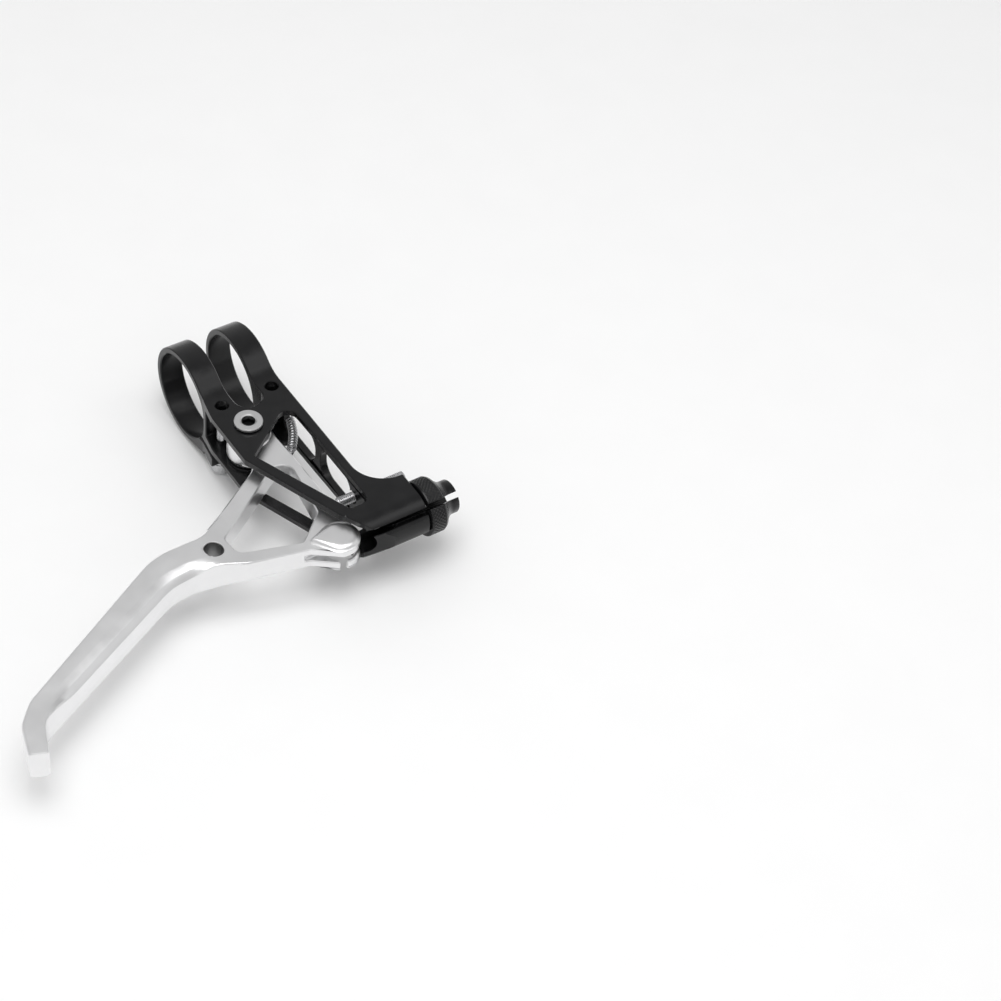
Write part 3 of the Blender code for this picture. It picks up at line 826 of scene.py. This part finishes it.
def blade_section(rear, front, bottom, top, dish):
    """One cross-section of the blade: flat at the rear, dished by a share towards the front."""
    across = (front - rear).normalized()
    width = (front - rear).length
    squeeze = min(1.0, width / NARROW)
    section = [(along * squeeze, bottom + rise) for along, rise in LOWER_CORNER]
    section += [(width - along * squeeze, bottom + rise) for along, rise in reversed(LOWER_CORNER)]
    for along, plain, dished in FRONT_CORNER:
        section.append((width - along * squeeze, top - plain - (dished - plain) * dish))
    section += [(along * squeeze, top - drop) for along, drop in REAR_CORNER]
    return [(*(rear + across * along), height) for along, height in section]


def make_blade():
    """The finger blade, lofted between its rear and front edges out of the web, to a round tip."""
    rear = resample(open_path(BLADE_REAR), REAR_PLACES, BLADE_COUNTS)
    front = resample(open_path(BLADE_FRONT), FRONT_PLACES, BLADE_COUNTS)
    root_bottom = WEB_Z[0] + ROOT_INSET
    root_top = WEB_Z[1] - ROOT_INSET
    sections = []
    for i, (back, ahead) in enumerate(zip(rear, front)):
        middle_x = (back.x + ahead.x) / 2
        growth = progress(middle_x, GROWTH)
        bottom = root_bottom + (BLADE_Z[0] - root_bottom) * growth
        top = root_top + (BLADE_Z[1] - root_top) * growth
        dish = progress(middle_x, DISH_START) * (1 - progress(middle_x, DISH_END))
        left = min(1.0, (len(rear) - 1 - i) / BLADE_COUNTS[-1])
        curve = 1 - math.sqrt(1 - (1 - left) ** 2)
        inset = (ahead - back).normalized() * (TIP_INSET * curve)
        sections.append(blade_section(back + inset, ahead - inset, bottom + TIP_RISE * curve,
                                      top - TIP_DROP * curve, dish))
    return loft("blade", sections)


def head_outline(inset):
    """The cable head's raised pad: a round end that tapers outboard to a small corner."""
    corner = Vector(HEAD_CORNER)
    centre = Vector(NIPPLE)
    radius = NIPPLE_BOSS_R - HEAD_INSET - inset
    corner_r = max(0.05, HEAD_CORNER_R - inset * HEAD_CORNER_SHRINK)
    towards = centre - corner
    facing = math.atan2(towards.y, towards.x)
    spread = math.acos((radius - corner_r) / towards.length)
    round_steps, corner_steps = 48, 6
    round_sweep = 2 * math.pi - 2 * spread
    points = []
    for i in range(round_steps + 1):
        angle = facing + math.pi - spread - round_sweep * i / round_steps
        points.append(polar(centre, radius, angle))
    for i in range(corner_steps + 1):
        angle = facing + math.pi + spread - 2 * spread * i / corner_steps
        points.append(polar(corner, corner_r, angle))
    return points


def make_head():
    """The cable head: a round boss under a raised pad with a domed rim."""
    wall_r = NIPPLE_BOSS_R - HEAD_INSET
    chamfer = 0.6
    boss = turned("head", [(wall_r - chamfer, HEAD_BOTTOM), (wall_r, HEAD_BOTTOM + chamfer),
                           (wall_r, WEB_Z[1] - 0.3)], (*NIPPLE, 0), segments=80)
    sections = [[(x, y, WEB_Z[1] - 0.5) for x, y in head_outline(0)]]
    dome_steps = 7
    for i in range(dome_steps + 1):
        lean = math.pi / 2 * i / dome_steps
        height = BLADE_Z[1] - HEAD_DOME * (1 - math.sin(lean))
        inset = HEAD_DOME * HEAD_DOME_SPREAD * (1 - math.cos(lean))
        sections.append([(x, y, height) for x, y in head_outline(inset)])
    carve(boss, loft("pad", sections), "UNION")
    return boss


def cut_head_slots(lever):
    """Open the cable head for the cable's nipple and the cable."""
    below = LEVER_CUT[0]
    past_head_y = 71.0
    pocket = cylinder("nipple_pocket", NIPPLE_POCKET_R, below, NIPPLE_POCKET_TOP, (*NIPPLE, 0))
    carve(lever, pocket)
    slot = [(-4, 61.5), (1.5, 61.5), (4.0, 62.5), (8.5, 63.0), (12.0, 63.0), (12.0, past_head_y),
            (-4, past_head_y)]
    carve(lever, prism("head_slot", slot, *HEAD_SLOT_Z))
    release = [(3.1, 62.0), (4.9, 62.0), (4.9, past_head_y), (3.1, past_head_y)]
    carve(lever, prism("release_slot", release, below, RELEASE_SLOT_TOP))


def cut_spring_seat(lever):
    """Hole for the spring's end from below, and the slot that its wire comes in by."""
    x, y = SPRING_HOLE
    past_arm_x = -3
    carve(lever, cylinder("spring_hole", SPRING_HOLE_R, LEVER_CUT[0], SPRING_HOLE_TOP, (x, y, 0),
                          segments=32))
    slot = [(past_arm_x, y - 2.4), (x, y - 1.1), (x, y + 1.1), (past_arm_x, y + 1.1)]
    carve(lever, prism("spring_slot", slot, *SPRING_SLOT_Z))


def make_lever():
    """The forged lever: web, hub, cable head and blade in one piece."""
    lever = prism("lever_body", web_outline(), *WEB_Z)
    carve(lever, make_blade(), "UNION")
    carve(lever, cylinder("hub", HUB_R, *HUB_Z, (*PIVOT, 0), segments=80), "UNION")
    carve(lever, make_head(), "UNION")
    carve(lever, prism("triangle", triangle_outline(), *LEVER_CUT))
    carve(lever, cylinder("hub_bore", BUSHING_R + GAP, *LEVER_CUT, (*PIVOT, 0)))
    carve(lever, cylinder("junction_hole", JUNCTION_HOLE_R, *LEVER_CUT, (*JUNCTION_HOLE, 0),
                          segments=48))
    cut_head_slots(lever)
    cut_spring_seat(lever)
    break_edges(lever, LEVER_EDGE, LEVER_EDGE_ANGLE)
    dress(lever, "silver_anodised", "lever", "lever_blade")


# Screws, adjuster and spring.

def add_socket(screw, across_flats, bottom, top, place, axis="Z"):
    """Hexagon socket cut into a screw's end."""
    carve(screw, turn_to(prism("socket", hexagon(across_flats), bottom, top), place, axis))


def make_clamp_screws():
    """The two clamp screws: socket head, shank and thread."""
    for side in ("inboard", "outboard"):
        node = f"clamp_bolt_{side}"
        bottom, top = low(node).z, high(node).z
        head_top = low(f"clamp_washer_{side}").z - GAP
        head_r = middle(node).x - low(node).x
        place = (middle(node).x, middle(node).y, 0)
        thread_start = SLIT_ROOF_Z + 1.0
        profile = [(head_r - 0.25, bottom), (head_r, bottom + 0.25), (head_r, head_top - 0.15),
                   (head_r - 0.15, head_top), (SCREW_R, head_top), (SCREW_R, thread_start)]
        profile += [(SCREW_R, h) for h in steps(thread_start + 0.06, top - 0.5, THREAD_STEP)]
        profile += [(SCREW_R - 0.4, top)]
        thread = thread_relief(THREAD_PITCH, THREAD_DEPTH, thread_start, top)
        screw = turned(f"clamp_screw_{side}", profile, place, segments=40, relief=thread)
        add_socket(screw, CLAMP_SOCKET, bottom - 1, bottom + SOCKET_DEPTH, place)
        dress(screw, "bright_steel", "bracket", node)


def make_pivot_screw():
    """Pivot screw with its flat head, and its thread below the bracket."""
    place = (*PIVOT, 0)
    bottom, top = low("pivot_bolt").z, high("pivot_bolt").z
    head_r = high("pivot_bolt").x - PIVOT.x
    seat = PLATE_TOP + GAP
    thread_top = PLATE_BOTTOM
    profile = [(PIVOT_SHANK_R - 0.3, bottom)]
    profile += [(PIVOT_SHANK_R, h) for h in steps(bottom + 0.3, thread_top, THREAD_STEP)]
    profile += [(PIVOT_SHANK_R, seat), (head_r - 0.1, seat), (head_r, seat + 0.1),
                (head_r, top - 0.28), (head_r - 0.07, top - 0.12), (head_r - 0.2, top),
                (2.1, top), (1.78, top - 0.3)]
    thread = thread_relief(THREAD_PITCH, THREAD_DEPTH, bottom, thread_top)
    screw = turned("pivot_screw", profile, place, relief=thread)
    add_socket(screw, PIVOT_SOCKET, seat - PIVOT_SOCKET_DEPTH, top + 1, place)
    dress(screw, "satin_steel", "bracket", "pivot_bolt")


def make_pivot_nut():
    """The pivot's lock nut under the bracket, with its lower corners turned off."""
    place = (*PIVOT, 0)
    bottom, top = low("pivot_nut").z, high("pivot_nut").z
    nut = turn_to(prism("lock_nut", hexagon(NUT_WIDTH), bottom, top), place, "Z")
    crown = [(NUT_CROWN_R, bottom - 0.05), (NUT_CROWN_R + 1.2, bottom + 0.7),
             (NUT_CROWN_R + 1.2, top + 1)]
    carve(nut, turned("crown", crown, place), "INTERSECT")
    carve(nut, chamfered_hole("nut_bore", PIVOT_SHANK_R + 0.3, bottom, top, place))
    shade(nut)
    dress(nut, "bright_steel", "bracket", "pivot_nut")


def make_reach_screw():
    """Threaded grub screw through the spine."""
    start, end = -high("reach_screw").x, -low("reach_screw").x
    place = (0, middle("reach_screw").y, MID_Z)
    profile = [(SCREW_R - 0.45, start)]
    profile += [(SCREW_R, h) for h in steps(start + 0.4, end - 0.25, THREAD_STEP)]
    profile += [(SCREW_R - 0.25, end)]
    thread = thread_relief(THREAD_PITCH, REACH_THREAD_DEPTH, start, end)
    screw = turned("reach_grub_screw", profile, place, axis="-X", segments=40, relief=thread)
    add_socket(screw, REACH_SOCKET, end - SOCKET_DEPTH, end + 1, place, axis="-X")
    dress(screw, "bright_steel", "reach_screw", "reach_screw")


def adjuster_profile(inner_end, collar_start, collar_r, nozzle_end):
    """The adjuster's closed (radius, height) profile: shank, collar, nozzle and the bore inside."""
    shank_r = BARREL_BORE_R - GAP
    thread_end = collar_start - 0.2
    collar_edge_r = collar_r - 1.2
    profile = [(CABLE_HOLE_R, inner_end), (shank_r - 0.5, inner_end)]
    profile += [(shank_r, h) for h in steps(inner_end + 0.5, thread_end, BARREL_THREAD_PITCH / 8)]
    profile += [(shank_r, collar_start), (collar_r - 0.35, collar_start),
                (collar_r - 0.1, collar_start + 0.12), (collar_r, collar_start + 0.4)]
    profile += [(collar_r, h) for h in steps(collar_start + 0.5, COLLAR_END - 1.25, 0.12)]
    profile += [(collar_r - 0.05, COLLAR_END - 1.1), (collar_r - 0.35, COLLAR_END - 0.5),
                (collar_r - 0.8, COLLAR_END - 0.15), (collar_edge_r, COLLAR_END)]
    for share in steps(0.0, 1.0, 0.1):
        drop = (collar_edge_r - NOZZLE_R) * (1 - math.sin(share * math.pi / 2))
        profile.append((NOZZLE_R + drop, COLLAR_END + 0.15 + NOZZLE_RISE * share))
    profile += [(NOZZLE_R, nozzle_end - 0.25), (NOZZLE_R - 0.12, nozzle_end - 0.05),
                (NOZZLE_R - 0.25, nozzle_end), (NOZZLE_BORE_R + 0.15, nozzle_end),
                (NOZZLE_BORE_R, nozzle_end - 0.15), (NOZZLE_BORE_R, HOUSING_STOP + 0.3),
                (NOZZLE_BORE_R - 0.15, HOUSING_STOP), (CABLE_HOLE_R + 0.1, HOUSING_STOP - 0.1),
                (CABLE_HOLE_R, HOUSING_STOP - 0.2)]
    return profile


def make_adjuster():
    """Barrel adjuster: threaded shank, diamond-knurled collar and flared nozzle."""
    node = "barrel_adjuster"
    inner_end, nozzle_end = -high(node).x, -low(node).x
    collar_r = high(node).z - MID_Z
    collar_start = -BARREL_END_X + GAP
    knurl = knurl_relief(KNURL_COUNT, KNURL_PITCH, KNURL_DEPTH, collar_start + 0.45,
                         COLLAR_END - 1.2)
    thread = thread_relief(BARREL_THREAD_PITCH, BARREL_THREAD_DEPTH, inner_end,
                           collar_start - 0.4)

    def relief(angle, height):
        return knurl(angle, height) + thread(angle, height)

    profile = adjuster_profile(inner_end, collar_start, collar_r, nozzle_end)
    adjuster = turned("adjuster_body", profile, (0, BARREL_Y, MID_Z), axis="-X", segments=176,
                      relief=relief, hollow=True)
    carve(adjuster, radial_box("adjuster_slot", ADJUSTER_SLOT_ANGLE, ADJUSTER_SLOT_REACH,
                               ADJUSTER_SLOT_WIDTH, ADJUSTER_SLOT_CUT))
    dress(adjuster, "black_anodised", "adjuster", "barrel_adjuster")


def spring_route():
    """The wire's centre line: a hook in the spine, close turns, and a hook in the lever."""
    start = Vector((*COIL_START, MID_Z))
    end = Vector((*COIL_END, MID_Z))
    along = (end - start).normalized()
    up = Vector((0, 0, 1))
    across = along.cross(up)
    sideways = Vector((-along.y, along.x, 0))
    route = [Vector((x, ANCHOR_Y + y, MID_Z)) for x, y in SPINE_HOOK]
    last = math.floor((end - start).length / COIL_PITCH) * COIL_STEPS
    for i in range(last + 1):
        angle = 2 * math.pi * i / COIL_STEPS
        offset = (up * math.sin(angle) - across * math.cos(angle)) * COIL_R
        bend = sideways * (COIL_BOW * math.sin(math.pi * i / last))
        route.append(start + along * (COIL_PITCH * i / COIL_STEPS) + offset + bend)
    x, y = SPRING_HOLE
    lever_hook = ((-2.9, 32.1, 0), (-1.8, 32.8, 0), (0.0, 33.2, 0), (x - 0.3, y - 0.1, -0.15),
                  (x, y, -0.6), (x, y, -2.0))
    return route + [Vector((px, py, MID_Z + rise)) for px, py, rise in lever_hook]


def make_spring():
    """The return spring's wire."""
    route = spring_route()
    side = Vector((0, 0, 1))
    angles = [2 * math.pi * i / WIRE_SIDES for i in range(WIRE_SIDES)]
    sections = []
    for i, point in enumerate(route):
        tangent = (route[min(i + 1, len(route) - 1)] - route[max(i - 1, 0)]).normalized()
        side = (side - tangent * side.dot(tangent)).normalized()
        other = tangent.cross(side)
        sections.append([point + (side * math.cos(a) + other * math.sin(a)) * WIRE_R
                         for a in angles])
    spring = loft("spring_wire", sections)
    coat(spring, "spring_steel")
    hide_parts("return_spring")
    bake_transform(spring)


def dress_inner_pieces():
    """Materials of the CAD nodes that stay visible."""
    nodes = frame["nodes"]
    for side in ("inboard", "outboard"):
        coat(nodes[f"clamp_washer_{side}"], "bright_steel")
    for place in ("lower", "upper"):
        coat(nodes[f"thrust_washer_{place}"], "bright_steel")
        coat(nodes[f"pivot_bushing_{place}"], "bearing_polymer")
    coat(nodes["pivot_sleeve"], "bright_steel")


# Floor, lights and camera.

def make_floor():
    """Plain pale floor just below the clamp screws' heads."""
    height = low("clamp_bolt_inboard").z * MM - FLOOR_DROP
    mesh_data = bmesh.new()
    corners = [(-FLOOR_REACH, -FLOOR_REACH), (FLOOR_REACH, -FLOOR_REACH),
               (FLOOR_REACH, FLOOR_REACH), (-FLOOR_REACH, FLOOR_REACH)]
    mesh_data.faces.new([mesh_data.verts.new((x, y, height)) for x, y in corners])
    mesh = bpy.data.meshes.new("floor")
    mesh_data.to_mesh(mesh)
    mesh_data.free()
    floor = bpy.data.objects.new("floor", mesh)
    bpy.context.scene.collection.objects.link(floor)
    material, shader = new_material("floor_paper", (0.93, 0.93, 0.93), 0.9, 0.0)
    paper = noise(material, 60, 3)
    vary_colour(material, shader, paper, (0.925, 0.925, 0.925), (0.935, 0.935, 0.935))
    floor.data.materials.append(material)


def make_world():
    """White surroundings with one dimmer patch, inboard of the top."""
    world = bpy.data.worlds.new("studio")
    world.use_nodes = True
    nodes, links = world.node_tree.nodes, world.node_tree.links
    nodes["Background"].inputs["Color"].default_value = (1, 1, 1, 1)
    place = nodes.new("ShaderNodeTexCoord")
    towards = nodes.new("ShaderNodeVectorMath")
    towards.operation = "DOT_PRODUCT"
    towards.inputs[1].default_value = Vector(DIM_DIRECTION).normalized()
    dim = nodes.new("ShaderNodeMapRange")
    dim.inputs["From Min"].default_value = DIM_EDGE[0]
    dim.inputs["From Max"].default_value = DIM_EDGE[1]
    dim.inputs["To Min"].default_value = WORLD_STRENGTH
    dim.inputs["To Max"].default_value = DIM_STRENGTH
    links.new(place.outputs["Generated"], towards.inputs[0])
    links.new(towards.outputs["Value"], dim.inputs["Value"])
    links.new(dim.outputs["Result"], nodes["Background"].inputs["Strength"])
    bpy.context.scene.world = world


def make_lights():
    """Four soft square lights aimed at the middle of the object."""
    for name, place, size, power in LIGHTS:
        data = bpy.data.lights.new(name, "AREA")
        data.size = size
        data.energy = power
        light = bpy.data.objects.new(name, data)
        light.location = place
        direction = Vector(LIGHT_TARGET) - Vector(place)
        light.rotation_euler = direction.to_track_quat("-Z", "Y").to_euler()
        bpy.context.scene.collection.objects.link(light)


def make_camera():
    """Camera in front and above, on the outboard side, with a long lens."""
    back = Vector(CAMERA_BACK).normalized()
    right = Vector(CAMERA_RIGHT)
    right = (right - back * right.dot(back)).normalized()
    up = back.cross(right)
    data = bpy.data.cameras.new("camera")
    data.sensor_width = 36.0
    data.lens = 96.12
    data.clip_start = 0.01
    camera = bpy.data.objects.new("camera", data)
    turn = Matrix((right, up, back)).transposed().to_4x4()
    camera.matrix_world = Matrix.Translation(CAMERA_PLACE) @ turn
    bpy.context.scene.collection.objects.link(camera)
    bpy.context.scene.camera = camera


make_bracket()
make_lever()
make_clamp_screws()
make_pivot_screw()
make_pivot_nut()
make_reach_screw()
make_adjuster()
make_spring()
dress_inner_pieces()
make_floor()
make_world()
make_lights()
make_camera()
bpy.context.scene.view_settings.view_transform = "Standard"

bpy.context.view_layer.update()
